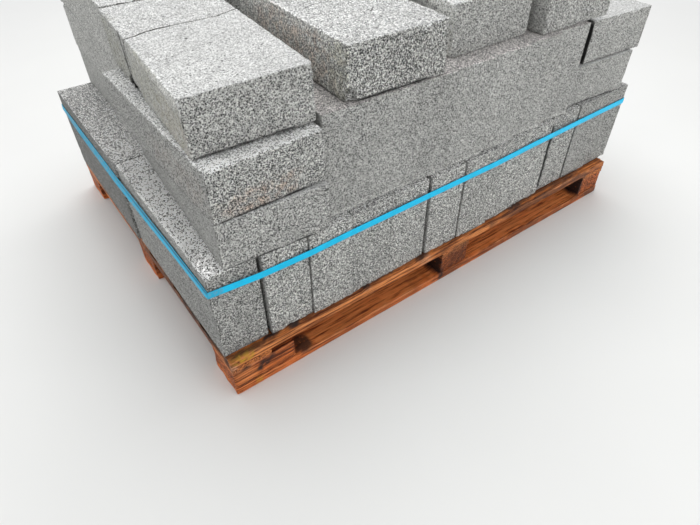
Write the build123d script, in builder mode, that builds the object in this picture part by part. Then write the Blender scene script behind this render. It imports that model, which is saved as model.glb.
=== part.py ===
from build123d import *
import math
import os

os.makedirs("parts", exist_ok=True)

# Sizes are in millimetres. X runs along the long side of the pallet, Y goes from the front
# to the back and Z is up. The origin is on the ground, below the middle of the pallet.

# One concrete block, and how far its worn edges are broken.
block_length = 440.0
block_height = 215.0
block_thickness = 100.0
block_edge = 1.5

# The pallet. Boards that lie on each other touch, and boards side by side don't.
pallet_length = 1200.0
pallet_width = 940.0
deck_board_width = 98.0
deck_board_thickness = 19.0
deck_board_count = 7
cross_board_width = 92.0
cross_board_thickness = 16.0
spacer_depth = 94.0
spacer_height = 50.0
near_spacer_length = 146.0
middle_spacer_length = 88.0
far_spacer_length = 90.0
middle_spacer_start = 566.0
bottom_board_width = 98.0
bottom_board_thickness = 19.0
board_edge = 1.2

# How the load stands on the pallet.
load_inset_front = 21.0
row_gap = 10.0
loose_gap = 0.8

# The strap round the first course.
strap_width = 16.0
strap_thickness = 0.9
strap_clearance = 0.4
strap_drop = 37.0
seal_length = 30.0
seal_wall = 1.0
seal_clearance = 0.15

cross_board_bottom = bottom_board_thickness + spacer_height
deck_bottom = cross_board_bottom + cross_board_thickness
deck_top = deck_bottom + deck_board_thickness
pallet_left = -pallet_length / 2
pallet_front = -pallet_width / 2
load_left = pallet_left
load_front = pallet_front + load_inset_front

first_top = deck_top + block_height
flat_middle = first_top + block_thickness
flat_top = first_top + 2 * block_thickness
on_edge_top = first_top + block_height


def block(x, y, z, angle, width, height, length=block_length):
    """Adds a block by its left front bottom corner. It runs to the back from there."""
    a = math.radians(angle)
    base = Plane(origin=(x, y, z), x_dir=(math.cos(a), math.sin(a), 0), z_dir=(0, 0, 1))
    with BuildSketch(base) as outline:
        Rectangle(width, length, align=(Align.MIN, Align.MIN))
    extrude(outline.sketch, amount=height)


def plan_corners(x, y):
    """The corners of a block of the first course in plan, for the strap."""
    return [
        (x, y),
        (x + block_thickness, y),
        (x + block_thickness, y + block_length),
        (x, y + block_length),
    ]


# First course: twelve blocks on edge in the front row and twelve in the back row. Each gap
# is to the block before it, and each bulge is how far the block stands back from the row.
first_gaps = [0, 4.0, 0.8, 0.8, 0.8, 5.0, 2.5, 0.8, 0.8, 6.5, 3.0, 0.8]
first_bulges = [0, -6.0, -10.0, -8.5, -7.5, -9.5, -11.5, -8.0, -4.0, 2.0, 0.0, 2.5]
back_gaps = [0, 1.5, 0.8, 2.5, 0.8, 3.5, 0.8, 4.0, 0.8, 1.2, 5.0, 0.8]
back_bulges = [-1.5, 1.0, 1.0, 0.0, 3.0, 5.0, 6.0, 2.0, 0.0, 4.0, 7.0, 5.0]
back_row_shift = -4.0

front_places = []
x = load_left
for gap, bulge in zip(first_gaps, first_bulges):
    x = x + gap
    front_places.append((x, load_front + bulge))
    x = x + block_thickness

back_places = []
x = load_left + back_row_shift
for gap, bulge in zip(back_gaps, back_bulges):
    x = x + gap
    back_places.append((x, load_front + block_length + row_gap + bulge))
    x = x + block_thickness

with BuildPart() as first_course:
    for x, y in front_places + back_places:
        block(x, y, deck_top, 0, block_thickness, block_height)
    chamfer(first_course.edges(), length=block_edge)
first_course.part.label = "first_course_blocks"

# Second course. The front row and the back row each have two blocks laid flat on each other
# at both ends, and seven blocks on edge between them. The front row has slid askew, and the
# back row stands further in at the near end.
row_angle = -4.2
flat_step_in = 35.5
lower_flat_front = -2.5
lower_flat_angle = -3.6
upper_flat_front = -6.0
upper_flat_slide = 0.5
upper_flat_angle = 0.5
on_edge_count = 7
on_edge_fronts = [11.0, 9.0, 6.0, 4.0, 4.0, 6.0, 10.0]
side_room = 6.5
far_flat_gap = 10.0
upper_far_slide = 27.0
lower_far_set_back = 20.0
upper_far_set_back = 26.0

back_step_in = 80.0
back_row_angle = -1.6
second_row_room = 13.5
back_on_edge_fronts = [6.0, 2.0, 0.0, 0.0, 2.0, 5.0, 8.0]
back_side_room = 3.0
back_upper_set_back = 7.0
back_upper_slide = 3.5
back_lower_angle = -0.6
back_upper_angle = -0.8
lower_far_angle = -4.2
upper_far_angle = -4.6
back_upper_far_angle = -2.0

lower_near_x = load_left + flat_step_in
lower_near_y = load_front + lower_flat_front
upper_near_x = lower_near_x + upper_flat_slide
upper_near_y = load_front + upper_flat_front
on_edge_left = lower_near_x + block_height + side_room
on_edge_step = (block_thickness + loose_gap) / math.cos(math.radians(row_angle))
second_back_y = load_front + block_length + second_row_room
back_near_x = load_left + back_step_in
back_on_edge_left = back_near_x + block_height + back_side_room
back_on_edge_step = (block_thickness + loose_gap) / math.cos(math.radians(back_row_angle))

with BuildPart() as second_on_edge:
    for i in range(on_edge_count):
        x = on_edge_left + i * on_edge_step
        block(x, load_front + on_edge_fronts[i], first_top, row_angle, block_thickness, block_height)
    for i in range(on_edge_count):
        x = back_on_edge_left + i * back_on_edge_step
        y = second_back_y + back_on_edge_fronts[i]
        block(x, y, first_top, back_row_angle, block_thickness, block_height)
    chamfer(second_on_edge.edges(), length=block_edge)
second_on_edge.part.label = "second_course_blocks_on_edge"

lower_far_x = on_edge_left + on_edge_count * on_edge_step + far_flat_gap
lower_far_y = load_front + lower_far_set_back
upper_far_x = lower_far_x + upper_far_slide
upper_far_y = load_front + upper_far_set_back
back_far_x = back_on_edge_left + on_edge_count * back_on_edge_step + 2 * loose_gap
back_far_y = second_back_y + back_on_edge_fronts[-1]

with BuildPart() as second_lower_flat:
    block(lower_near_x, lower_near_y, first_top, lower_flat_angle, block_height, block_thickness)
    block(back_near_x, second_back_y, first_top, back_lower_angle, block_height, block_thickness)
    block(lower_far_x, lower_far_y, first_top, lower_far_angle, block_height, block_thickness)
    block(back_far_x, back_far_y, first_top, back_row_angle, block_height, block_thickness)
    chamfer(second_lower_flat.edges(), length=block_edge)
second_lower_flat.part.label = "second_course_lower_flat_blocks"

with BuildPart() as second_upper_flat:
    block(upper_near_x, upper_near_y, flat_middle, upper_flat_angle, block_height, block_thickness)
    x = back_near_x - back_upper_slide
    block(x, second_back_y, flat_middle, back_upper_angle, block_height, block_thickness)
    block(upper_far_x, upper_far_y, flat_middle, upper_far_angle, block_height, block_thickness)
    x = back_far_x + back_upper_slide
    y = back_far_y + back_upper_set_back
    block(x, y, flat_middle, back_upper_far_angle, block_height, block_thickness)
    chamfer(second_upper_flat.edges(), length=block_edge)
second_upper_flat.part.label = "second_course_upper_flat_blocks"

# Top course. Three blocks of each row lie on the blocks on edge. Each room is the space
# between a block and the one before it.
top_fronts = [15.0, 47.0, 17.0]
top_rooms = [55.0, 55.0, 18.0]
top_angles = [-2.6, -0.6, -1.6]
top_back_fronts = [4.0, -2.0, 6.0]
top_back_rooms = [36.0, 22.0, 19.0]
top_back_angles = [-1.2, -0.5, -0.8]
top_back_room = 40.5

with BuildPart() as top_front:
    x = on_edge_left - block_height
    for room, back, angle in zip(top_rooms, top_fronts, top_angles):
        x = x + block_height + room
        block(x, load_front + back, on_edge_top, angle, block_height, block_thickness)
    chamfer(top_front.edges(), length=block_edge)
top_front.part.label = "top_course_front_blocks"

with BuildPart() as top_back:
    x = back_on_edge_left - block_height
    for room, back, angle in zip(top_back_rooms, top_back_fronts, top_back_angles):
        x = x + block_height + room
        y = second_back_y + top_back_room + back
        block(x, y, on_edge_top, angle, block_height, block_thickness)
    chamfer(top_back.edges(), length=block_edge)
top_back.part.label = "top_course_back_blocks"

# The near end of the top course is lower, on the flat blocks. Its front block is broken
# through and has rocked a little onto its left edge. The break leans back as it goes down
# and turns as it goes across, and its two faces fit each other.
broken_angle = -4.2
broken_rock = 1.0
broken_room = 4.5
broken_set_back = 33.0
break_gap = 1.6
broken_joint = 7.0
break_turn = 5.0
break_line = [(264, 1.0), (280, 0.88), (289, 0.66), (287, 0.47), (299, 0.22), (305, 0.0)]

broken_x = on_edge_left - broken_room - block_height
broken_y = load_front + broken_set_back


def turned_plane(x, y, z, angle, rock):
    """A block's left side, with X along the block and the way across as its normal."""
    a = math.radians(angle)
    r = math.radians(rock)
    across = (math.cos(a) * math.cos(r), math.sin(a) * math.cos(r), math.sin(r))
    return Plane(origin=(x, y, z), x_dir=(-math.sin(a), math.cos(a), 0), z_dir=across)


def break_points(shift):
    """The break seen from the side, as distance to the back and height."""
    return [(back * block_length / 440 + shift, up * block_thickness) for back, up in break_line]


broken_side = turned_plane(broken_x, broken_y, flat_top, broken_angle, broken_rock)
t = math.radians(break_turn)
break_run = (
    broken_side.z_dir * math.cos(t) + broken_side.x_dir * math.sin(t)
)


def whole_broken_block():
    """The block before it broke."""
    with BuildSketch(broken_side) as outline:
        Rectangle(block_length, block_thickness, align=(Align.MIN, Align.MIN))
    extrude(outline.sketch, amount=block_height)


def cut_away(points, end):
    """Takes off all that lies between the break and one end of the block."""
    top = block_thickness * 1.5
    bottom = -block_thickness / 2
    reach = block_height / math.cos(t) * 1.2
    shift = -reach * 0.1
    with BuildSketch(broken_side) as outline:
        with BuildLine():
            Polyline(
                (end, bottom),
                (end, top),
                (points[0][0], top),
                *points,
                (points[-1][0], bottom),
                close=True,
            )
        make_face()
    moved = outline.sketch.moved(Location(break_run * shift))
    extrude(moved, amount=reach, dir=break_run, mode=Mode.SUBTRACT)


with BuildPart() as broken_front:
    whole_broken_block()
    chamfer(broken_front.edges(), length=block_edge)
    cut_away(break_points(0), block_length * 1.5)
broken_front.part.label = "broken_block_front_piece"

with BuildPart() as broken_back:
    whole_broken_block()
    chamfer(broken_back.edges(), length=block_edge)
    cut_away(break_points(break_gap), -block_length / 2)
broken_back.part.label = "broken_block_back_piece"

near_back_x = back_near_x - 2 * back_upper_slide
near_back_y = load_front + broken_set_back + block_length + broken_joint
with BuildPart() as near_back_top:
    block(near_back_x, near_back_y, flat_top, back_row_angle, block_height, block_thickness)
    chamfer(near_back_top.edges(), length=block_edge)
near_back_top.part.label = "top_course_near_back_block"

# Deck boards run along the pallet. They lie on three cross boards.
deck_pitch = (pallet_width - deck_board_width) / (deck_board_count - 1)
with BuildPart() as deck_boards:
    with BuildSketch(Plane.XY.offset(deck_bottom)):
        for i in range(deck_board_count):
            with Locations((0, pallet_front + deck_board_width / 2 + i * deck_pitch)):
                Rectangle(pallet_length, deck_board_width)
    extrude(amount=deck_board_thickness)
    chamfer(deck_boards.edges(), length=board_edge)
deck_boards.part.label = "deck_boards"

middle_line = pallet_left + middle_spacer_start + middle_spacer_length / 2
cross_lines = [
    pallet_left + cross_board_width / 2,
    middle_line,
    -pallet_left - cross_board_width / 2,
]
with BuildPart() as cross_boards:
    with BuildSketch(Plane.XY.offset(cross_board_bottom)):
        for x in cross_lines:
            with Locations((x, 0)):
                Rectangle(cross_board_width, pallet_width)
    extrude(amount=cross_board_thickness)
    chamfer(cross_boards.edges(), length=board_edge)
cross_boards.part.label = "cross_boards"

# Nine spacer blocks, three in each of the three rows, between the cross boards and the
# bottom boards.
spacer_rows = [
    pallet_front + bottom_board_width / 2,
    0,
    -pallet_front - bottom_board_width / 2,
]
with BuildPart() as spacers:
    with BuildSketch(Plane.XY.offset(bottom_board_thickness)):
        for y in spacer_rows:
            with Locations((pallet_left + near_spacer_length / 2, y)):
                Rectangle(near_spacer_length, spacer_depth)
            with Locations((middle_line, y)):
                Rectangle(middle_spacer_length, spacer_depth)
            with Locations((-pallet_left - far_spacer_length / 2, y)):
                Rectangle(far_spacer_length, spacer_depth)
    extrude(amount=spacer_height)
    chamfer(spacers.edges(), length=board_edge)
spacers.part.label = "spacer_blocks"

with BuildPart() as bottom_boards:
    with BuildSketch(Plane.XY):
        for y in spacer_rows:
            with Locations((0, y)):
                Rectangle(pallet_length, bottom_board_width)
    extrude(amount=bottom_board_thickness)
    chamfer(bottom_boards.edges(), length=board_edge)
bottom_boards.part.label = "bottom_boards"


# The strap is pulled straight between the blocks that stand out, so its line in plan is the
# hull of all their corners.
def turn_of(o, p, q):
    """Positive when the way from o past p to q turns left."""
    return (p[0] - o[0]) * (q[1] - o[1]) - (p[1] - o[1]) * (q[0] - o[0])


def half_hull(points):
    """The lower or upper half of the hull of points that are already in order."""
    line = []
    for p in points:
        while len(line) > 1 and turn_of(line[-2], line[-1], p) <= 0.5:
            line.pop()
        line.append(p)
    return line[:-1]


corners = []
for x, y in front_places + back_places:
    corners = corners + plan_corners(x, y)
corners = sorted(set(corners))
hull = half_hull(corners) + half_hull(corners[::-1])

strap_bottom = first_top - strap_drop - strap_width
with BuildPart() as strap:
    with BuildSketch(Plane.XY.offset(strap_bottom)):
        with BuildLine():
            Polyline(*hull, close=True)
        make_face()
        offset(amount=strap_clearance + strap_thickness, kind=Kind.ARC)
        with BuildSketch(mode=Mode.PRIVATE) as inside:
            with BuildLine():
                Polyline(*hull, close=True)
            make_face()
            offset(amount=strap_clearance, kind=Kind.ARC)
        add(inside.sketch, mode=Mode.SUBTRACT)
    extrude(amount=strap_width)
strap.part.label = "strap"

# A pressed seal holds the ends of the strap together at the back. It is a channel over the
# outside and both edges of the strap.
back_starts = [i for i in range(len(hull)) if hull[i][1] > 0 and hull[i - 1][1] > 0]
seal_end = max(back_starts, key=lambda i: math.dist(hull[i], hull[i - 1]))
p = hull[seal_end - 1]
q = hull[seal_end]
span = math.dist(p, q)
seal_plane = Plane(
    origin=((p[0] + q[0]) / 2, (p[1] + q[1]) / 2, strap_bottom + strap_width / 2),
    x_dir=((q[0] - p[0]) / span, (q[1] - p[1]) / span, 0),
    z_dir=((q[1] - p[1]) / span, (p[0] - q[0]) / span, 0),
)
seal_deep = strap_thickness + seal_clearance
with BuildPart() as seal:
    with BuildSketch(seal_plane.offset(strap_clearance)):
        Rectangle(seal_length, strap_width + 2 * seal_clearance + 2 * seal_wall)
    extrude(amount=seal_deep + seal_wall)
    with BuildSketch(seal_plane.offset(strap_clearance)):
        Rectangle(seal_length, strap_width + 2 * seal_clearance)
    extrude(amount=seal_deep, mode=Mode.SUBTRACT)
seal.part.label = "strap_seal"

for made in (
    first_course,
    second_on_edge,
    second_lower_flat,
    second_upper_flat,
    top_front,
    top_back,
    broken_front,
    broken_back,
    near_back_top,
    deck_boards,
    cross_boards,
    spacers,
    bottom_boards,
    strap,
    seal,
):
    export_step(made.part, "parts/" + made.part.label + ".step")
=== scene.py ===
import itertools
import math
import random

import bmesh
import bpy
import numpy as np
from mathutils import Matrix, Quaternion, Vector


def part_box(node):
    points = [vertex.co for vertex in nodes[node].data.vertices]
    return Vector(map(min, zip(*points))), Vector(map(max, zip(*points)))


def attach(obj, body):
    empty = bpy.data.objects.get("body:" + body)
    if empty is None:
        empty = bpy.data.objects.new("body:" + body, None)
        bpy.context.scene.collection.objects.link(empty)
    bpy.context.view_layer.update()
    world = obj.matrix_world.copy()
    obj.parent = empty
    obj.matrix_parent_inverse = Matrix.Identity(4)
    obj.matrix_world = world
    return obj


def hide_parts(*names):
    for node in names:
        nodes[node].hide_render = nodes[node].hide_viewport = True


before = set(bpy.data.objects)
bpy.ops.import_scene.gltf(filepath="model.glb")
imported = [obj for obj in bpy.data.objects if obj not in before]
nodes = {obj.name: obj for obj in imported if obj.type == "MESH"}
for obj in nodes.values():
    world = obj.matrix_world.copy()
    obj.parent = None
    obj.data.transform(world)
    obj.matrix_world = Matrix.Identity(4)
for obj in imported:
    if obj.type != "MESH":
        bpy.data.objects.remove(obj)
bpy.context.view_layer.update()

# Sizes are in metres in the frame of the solids. MM turns millimetres into metres.
MM = 0.001
# A point this close to a face of its box lies on it. It also keeps divisors away from zero.
TOUCHING = 1e-9
SCENE = bpy.context.scene

# Noise for shapes. The same table is used at several wavelengths.
TABLE_SIZE = 48
NOISE_TABLE = np.random.default_rng(11).random((TABLE_SIZE, TABLE_SIZE, TABLE_SIZE))


def noise(points, wavelength, seed):
    """Smooth noise from -1 to 1 at each point, with bumps about one wavelength apart."""
    scaled = points / wavelength + seed * 7.31
    cell = np.floor(scaled).astype(int)
    t = scaled - cell
    t = t * t * (3 - 2 * t)
    total = np.zeros(len(points))
    for corner in itertools.product((0, 1), repeat=3):
        near = np.array(corner)
        weight = np.prod(np.where(near, t, 1 - t), axis=1)
        x, y, z = ((cell + near) % TABLE_SIZE).T
        total += weight * NOISE_TABLE[x, y, z]
    return total * 2 - 1


def unit_noise(points, wavelength, seed):
    """The same noise from 0 to 1."""
    return (1 + noise(points, wavelength, seed)) * 0.5


# Meshes. The extra grid lines beside an arris are given in millimetres from it.
BLOCK_EDGE_LINES = (1.2, 3.2, 6.0)
BOARD_EDGE_LINES = (1.0, 2.6)


def spaced(length, step, edge_lines):
    """Places of the grid lines along one side of a box, closer together at both ends."""
    ends = [d * MM for d in edge_lines if d * MM < length * 0.3]
    first = ends[-1] if ends else 0.0
    count = max(1, round((length - 2 * first) / step))
    middle = np.linspace(first, length - first, count + 1)
    head = [0.0] + ends[:-1] if ends else []
    tail = [length - d for d in reversed(head)]
    return np.array(head + list(middle) + tail)


def box_skin(size, steps, edge_lines):
    """The skin of a box as points and quads. steps says how far apart its grid lines are in
    each direction, in millimetres."""
    xs, ys, zs = (spaced(size[i], steps[i] * MM, edge_lines) for i in range(3))
    skin = np.zeros((len(xs), len(ys), len(zs)), bool)
    for axis in range(3):
        np.moveaxis(skin, axis, 0)[[0, -1]] = True
    index = np.full(skin.shape, -1)
    index[skin] = np.arange(skin.sum())
    i, j, k = np.nonzero(skin)
    points = np.stack([xs[i], ys[j], zs[k]], axis=1)

    def side(ids, turned):
        quads = np.stack([ids[:-1, :-1], ids[1:, :-1], ids[1:, 1:], ids[:-1, 1:]], axis=-1)
        quads = quads.reshape(-1, 4)
        return quads[:, ::-1] if turned else quads

    quads = np.concatenate([
        side(index[0], True), side(index[-1], False),
        side(index[:, 0], False), side(index[:, -1], True),
        side(index[:, :, 0], True), side(index[:, :, -1], False),
    ])
    return points, quads


def on_faces(points, size):
    """Whether each point lies on one of the two faces of a box, in each direction."""
    return (points < TOUCHING) | (points > size - TOUCHING)


def round_arrises(points, size, radius):
    """Rounds the arrises of a box in place. Returns the way out of the box at each point."""
    core = np.clip(points, radius, size - radius)
    out = points - core
    length = np.maximum(np.linalg.norm(out, axis=1), TOUCHING)[:, None]
    points[:] = core + out * radius / length
    return out / length


def put(name, data):
    """A new object in the scene."""
    made = bpy.data.objects.new(name, data)
    SCENE.collection.objects.link(made)
    return made


def make_piece(name, points, faces, material, replaced, values):
    """A new piece on the one body, with values as attributes of its points."""
    mesh = bpy.data.meshes.new(name)
    mesh.from_pydata(points.tolist(), [], faces.tolist())
    for key, array in values.items():
        kind, field = ("FLOAT_VECTOR", "vector") if array.ndim == 2 else ("FLOAT", "value")
        attribute = mesh.attributes.new(key, kind, "POINT")
        attribute.data.foreach_set(field, array.astype(np.float32).ravel())
    mesh.polygons.foreach_set("use_smooth", [True] * len(mesh.polygons))
    mesh.materials.append(material)
    mesh.update()
    piece = put(name, mesh)
    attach(piece, "root")
    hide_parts(*replaced)


# How square to a direction a face is that counts, how close two corners are that are one, and
# how deep a row of solids is.
SQUARE_ON = 0.98
WELD = 1e-5
ROW_DEPTH = 0.2


class Solid:
    """One solid of a CAD node as a box: its three directions, its corner and its size."""

    def __init__(self, verts, faces):
        points = np.array([v.co for v in verts])
        across = np.zeros(3)
        up = np.zeros(3)
        for face in faces:
            normal = np.array(face.normal)
            area = face.calc_area()
            if abs(normal[0]) > SQUARE_ON:
                across += normal * area * np.sign(normal[0])
            if abs(normal[2]) > SQUARE_ON:
                up += normal * area * np.sign(normal[2])
        up /= np.linalg.norm(up)
        across -= up * (across @ up)
        across /= np.linalg.norm(across)
        self.axes = np.array([across, np.cross(up, across), up])
        inside = points @ self.axes.T
        self.low = inside.min(axis=0)
        self.size = inside.max(axis=0) - self.low
        self.centre = points.mean(axis=0)

    def to_world(self, local):
        return (local + self.low) @ self.axes


def in_order(solid):
    """The front row first, each row from left to right, and the outer one of two level ones."""
    x, y, _ = solid.centre
    return round(y / ROW_DEPTH), round(x, 4), -abs(y)


def solids_of(node):
    """The solids of a CAD node, in order."""
    bm = bmesh.new()
    bm.from_mesh(nodes[node].data)
    bmesh.ops.remove_doubles(bm, verts=bm.verts, dist=WELD)
    seen = set()
    found = []
    for first in bm.verts:
        if first in seen:
            continue
        seen.add(first)
        group = [first]
        for vert in group:
            for edge in vert.link_edges:
                other = edge.other_vert(vert)
                if other not in seen:
                    seen.add(other)
                    group.append(other)
        faces = dict.fromkeys(face for vert in group for face in vert.link_faces)
        found.append(Solid(group, faces))
    bm.free()
    return sorted(found, key=in_order)


# Materials. Nearly all the values of a noise texture lie in the range that is usual.
USUAL_NOISE = (0.3, 0.7)


def add_node(tree, kind, inputs, **settings):
    """A new node. Each of its inputs is linked to a socket or set to a value."""
    made = tree.nodes.new(kind)
    for key, value in settings.items():
        setattr(made, key, value)
    for key, value in inputs.items():
        if isinstance(value, bpy.types.NodeSocket):
            tree.links.new(value, made.inputs[key])
        else:
            made.inputs[key].default_value = value
    return made


class Shader:
    """A material of nodes, with short ways to add the nodes that repeat."""

    def __init__(self, name, roughness, specular):
        self.material = bpy.data.materials.new(name)
        self.material.use_nodes = True
        self.tree = self.material.node_tree
        self.surface = self.tree.nodes["Principled BSDF"]
        self.surface.inputs["Roughness"].default_value = roughness
        self.surface.inputs["Specular IOR Level"].default_value = specular

    def add(self, kind, inputs, **settings):
        return add_node(self.tree, kind, inputs, **settings)

    def link(self, value, key):
        self.tree.links.new(value, self.surface.inputs[key])

    def value_of(self, key):
        return self.add("ShaderNodeAttribute", {}, attribute_name=key).outputs["Fac"]

    def place(self, key="place"):
        return self.add("ShaderNodeAttribute", {}, attribute_name=key).outputs["Vector"]

    def noise(self, place, size, detail=3.0, rough=0.55, distort=0.0):
        inputs = {"Vector": place, "Scale": 1 / size, "Detail": detail}
        inputs |= {"Roughness": rough, "Distortion": distort}
        return self.add("ShaderNodeTexNoise", inputs).outputs["Fac"]

    def swing(self, place, size, low, high, *shape):
        """A noise that usually runs from low to high."""
        return self.span(self.noise(place, size, *shape), *USUAL_NOISE, low, high)

    def cells(self, place, size):
        """A value from 0 to 1 for each cell."""
        made = self.add("ShaderNodeTexVoronoi", {"Vector": place, "Scale": 1 / size})
        parts = self.add("ShaderNodeSeparateColor", {"Color": made.outputs["Color"]})
        return parts.outputs["Red"]

    def from_cells(self, place, size):
        """How far the middle of the nearest cell is, as a share of the cells' size."""
        made = self.add("ShaderNodeTexVoronoi", {"Vector": place, "Scale": 1 / size})
        return made.outputs["Distance"]

    def span(self, value, low, high, to_low=0.0, to_high=1.0, smooth=False):
        inputs = {"Value": value, "From Min": low, "From Max": high}
        inputs |= {"To Min": to_low, "To Max": to_high}
        kind = "SMOOTHSTEP" if smooth else "LINEAR"
        return self.add("ShaderNodeMapRange", inputs, interpolation_type=kind).outputs["Result"]

    def math(self, operation, total, *others):
        for other in others or (0.0,):
            made = self.add("ShaderNodeMath", {0: total, 1: other}, operation=operation)
            total = made.outputs[0]
        return total

    def times(self, *values):
        return self.math("MULTIPLY", *values)

    def vector(self, operation, first, second=None, output="Vector"):
        inputs = {0: first}
        if second is not None:
            inputs["Scale" if operation == "SCALE" else 1] = second
        return self.add("ShaderNodeVectorMath", inputs, operation=operation).outputs[output]

    def mix(self, share, first, second, blend="MIX"):
        inputs = {0: share, 6: first, 7: second}
        made = self.add("ShaderNodeMix", inputs, data_type="RGBA", blend_type=blend)
        return made.outputs[2]

    def grey(self, value):
        return self.add("ShaderNodeCombineColor", {0: value, 1: value, 2: value}).outputs[0]

    def bump(self, height, depth, strength):
        inputs = {"Height": height, "Distance": depth, "Strength": strength}
        return self.add("ShaderNodeBump", inputs).outputs["Normal"]


def rgb(red, green, blue):
    return (red, green, blue, 1.0)


END_GREY = rgb(0.425, 0.425, 0.408)
PALE_GREY = rgb(0.57, 0.57, 0.56)
FRESH_GREY = rgb(0.60, 0.60, 0.59)
# Near black, for pits, cracks, dirt and the painted shade in joints, cracks and under blocks.
DARK_GREY = rgb(0.030, 0.030, 0.028)
EARTH_TINT = rgb(0.40, 0.33, 0.28)
OLIVE_TINT = rgb(0.34, 0.335, 0.28)
PINK_TINT = rgb(0.50, 0.44, 0.42)
PIT_CELL = 11.5 * MM


def concrete_material():
    """Open-textured grey ends, paler smooth sides, light chips, dark crevices and stains, and
    painted light and shade.
    """
    s = Shader("concrete", 0.93, 0.2)
    place = s.place()
    pale = s.value_of("pale")
    coarse = s.value_of("coarse")

    # Slow changes of tone
    wide = s.swing(place, 160 * MM, 0.93, 1.06)
    cloudy = s.swing(place, 30 * MM, -1.0, 1.0, 4.0)
    cloudy = s.math("ADD", s.times(cloudy, s.span(pale, 0.0, 1.0, 0.04, 0.07)), 1.0)

    # Grains, the holes between them and crevices, which are stronger the coarser the face is
    middling = s.swing(place, 9 * MM, -0.02, 0.02, 2.0)
    grains = s.span(s.cells(place, 2.5 * MM), 0.0, 1.0, -0.62, 0.68)
    fine = s.span(s.noise(place, 1.7 * MM, 2.0, 0.6), 0.28, 0.72, -0.95, 0.95)
    holes = s.span(s.from_cells(place, 3.0 * MM), 0.18, 0.58, -1.0, 0.62)
    grains = s.math("ADD", grains, s.times(holes, 0.95))
    crevices = s.span(s.noise(place, 3.4 * MM, 2.0, 0.6, 0.4), 0.59, 0.66)
    speckle = s.math("ADD", grains, fine, middling)
    speckle = s.times(s.math("SUBTRACT", speckle, s.times(crevices, 0.35)), coarse)
    speckle = s.math("MAXIMUM", s.math("ADD", speckle, 0.93), 0.10)

    # Single pits, darker in the pale faces
    pits = s.from_cells(place, PIT_CELL)
    pit_size = s.span(s.cells(place, PIT_CELL), 0.50, 1.0, 0.0, 0.19)
    pits = s.span(s.math("SUBTRACT", pit_size, pits), -0.03, 0.03)
    pits = s.times(pits, s.span(pale, 0.0, 1.0, 0.2, 0.75))

    base = s.mix(pale, END_GREY, PALE_GREY)
    base = s.mix(s.times(s.value_of("pink"), 0.8), base, PINK_TINT)
    # Pale chips, partly fresh concrete and partly painted highlight.
    base = s.mix(s.value_of("fresh"), base, FRESH_GREY)
    patchy = s.span(s.noise(place, 14 * MM), 0.36, 0.60)
    base = s.mix(s.times(s.value_of("tint"), patchy), base, EARTH_TINT)
    base = s.mix(s.times(s.value_of("olive"), patchy), base, OLIVE_TINT)
    # The shade of a block holds its tone together with its painted light and painted shade.
    level = s.times(wide, cloudy, speckle, s.value_of("shade"))
    colour = s.mix(1.0, base, s.grey(level), "MULTIPLY")
    # Pits, cracks, dirt and painted shade in joints, cracks and under blocks darken the colour.
    dark = s.math("MAXIMUM", pits, mark_shade(s), s.value_of("grime"))
    colour = s.mix(dark, colour, DARK_GREY)
    s.link(colour, "Base Color")

    height = s.math("SUBTRACT", s.math("ADD", grains, fine), s.times(crevices, 1.2))
    height = s.math("SUBTRACT", s.times(height, coarse), s.times(dark, 1.5))
    s.link(s.bump(height, 1.2 * MM, 0.8), "Normal")
    return s.material


# Hairline cracks and small pits of the blocks that show most. Each is a run of points in
# its block's own frame in millimetres, with half its width. A run of one point is a pit.
BLOCK_MARKS = [
    ("broken_block_front", 1.2, [(150, 288, 100), (168, 294, 100)]),
    ("broken_block_front", 2.6, [(172, 272, 100)]),
    ("broken_block_front", 2.8, [(88, 203, 100)]),
    ("top_course_front_block_01", 1.0, [(21, 180, 100), (55, 195, 100), (90, 190, 100)]),
    ("top_course_front_block_01", 0.9, [(122, 115, 100), (121, 104, 100), (135, 119, 100)]),
    ("top_course_front_block_01", 2.6, [(166, 24, 100)]),
    ("second_course_lower_block_03", 0.9, [(2, 52, 100), (24, 96, 100)]),
]
MARK_APART = 3.0
MARK_DARKNESS = 0.85
# A mark fades out between these shares of its half width.
MARK_FADE = (0.6, 1.5)
MARKED_BLOCKS = sorted({block for block, _, _ in BLOCK_MARKS})


def mark_offset(name):
    """Where a block's own frame lies in the space that the marks are drawn in."""
    number = MARKED_BLOCKS.index(name) + 1 if name in MARKED_BLOCKS else 0
    return np.array([number * MARK_APART, 0.0, 0.0])


def mark_shade(s):
    """How dark the cracks and pits make each point."""
    place = s.place("marks")
    wander = s.swing(place, 6 * MM, -0.9 * MM, 0.9 * MM)
    shares = []
    for block, half_width, run in BLOCK_MARKS:
        inner, outer = (half_width * share * MM for share in MARK_FADE)
        ends = [np.array(end) * MM + mark_offset(block) for end in run]
        for first, last in zip(ends, ends[1:] or ends):
            along = last - first
            away = s.vector("SUBTRACT", place, tuple(first))
            square = max(along @ along, TOUCHING)
            share = s.times(s.vector("DOT_PRODUCT", away, tuple(along), "Value"), 1 / square)
            share = s.math("MINIMUM", s.math("MAXIMUM", share, 0.0), 1.0)
            nearest = s.vector("SCALE", tuple(along), share)
            distance = s.vector("LENGTH", s.vector("SUBTRACT", away, nearest), None, "Value")
            distance = s.math("ADD", distance, wander)
            shares.append(s.span(distance, inner, outer, MARK_DARKNESS, 0.0))
    return s.math("MAXIMUM", *shares)


WOOD_LIGHT = rgb(0.76, 0.245, 0.062)
WOOD_DARK = rgb(0.10, 0.024, 0.008)
WOOD_PALE = rgb(0.80, 0.47, 0.30)
WOOD_RED = rgb(0.78, 0.205, 0.048)
# Painted light for wood that is lit.
WOOD_PAINTED_LIGHT = rgb(0.95, 0.37, 0.12)
# Dirt, litter and painted shade on wood.
WOOD_DIRT_AND_SHADE = rgb(0.036, 0.018, 0.014)
MOSS = rgb(0.58, 0.32, 0.03)
RING_WIDTH = 6.6 * MM


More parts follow.
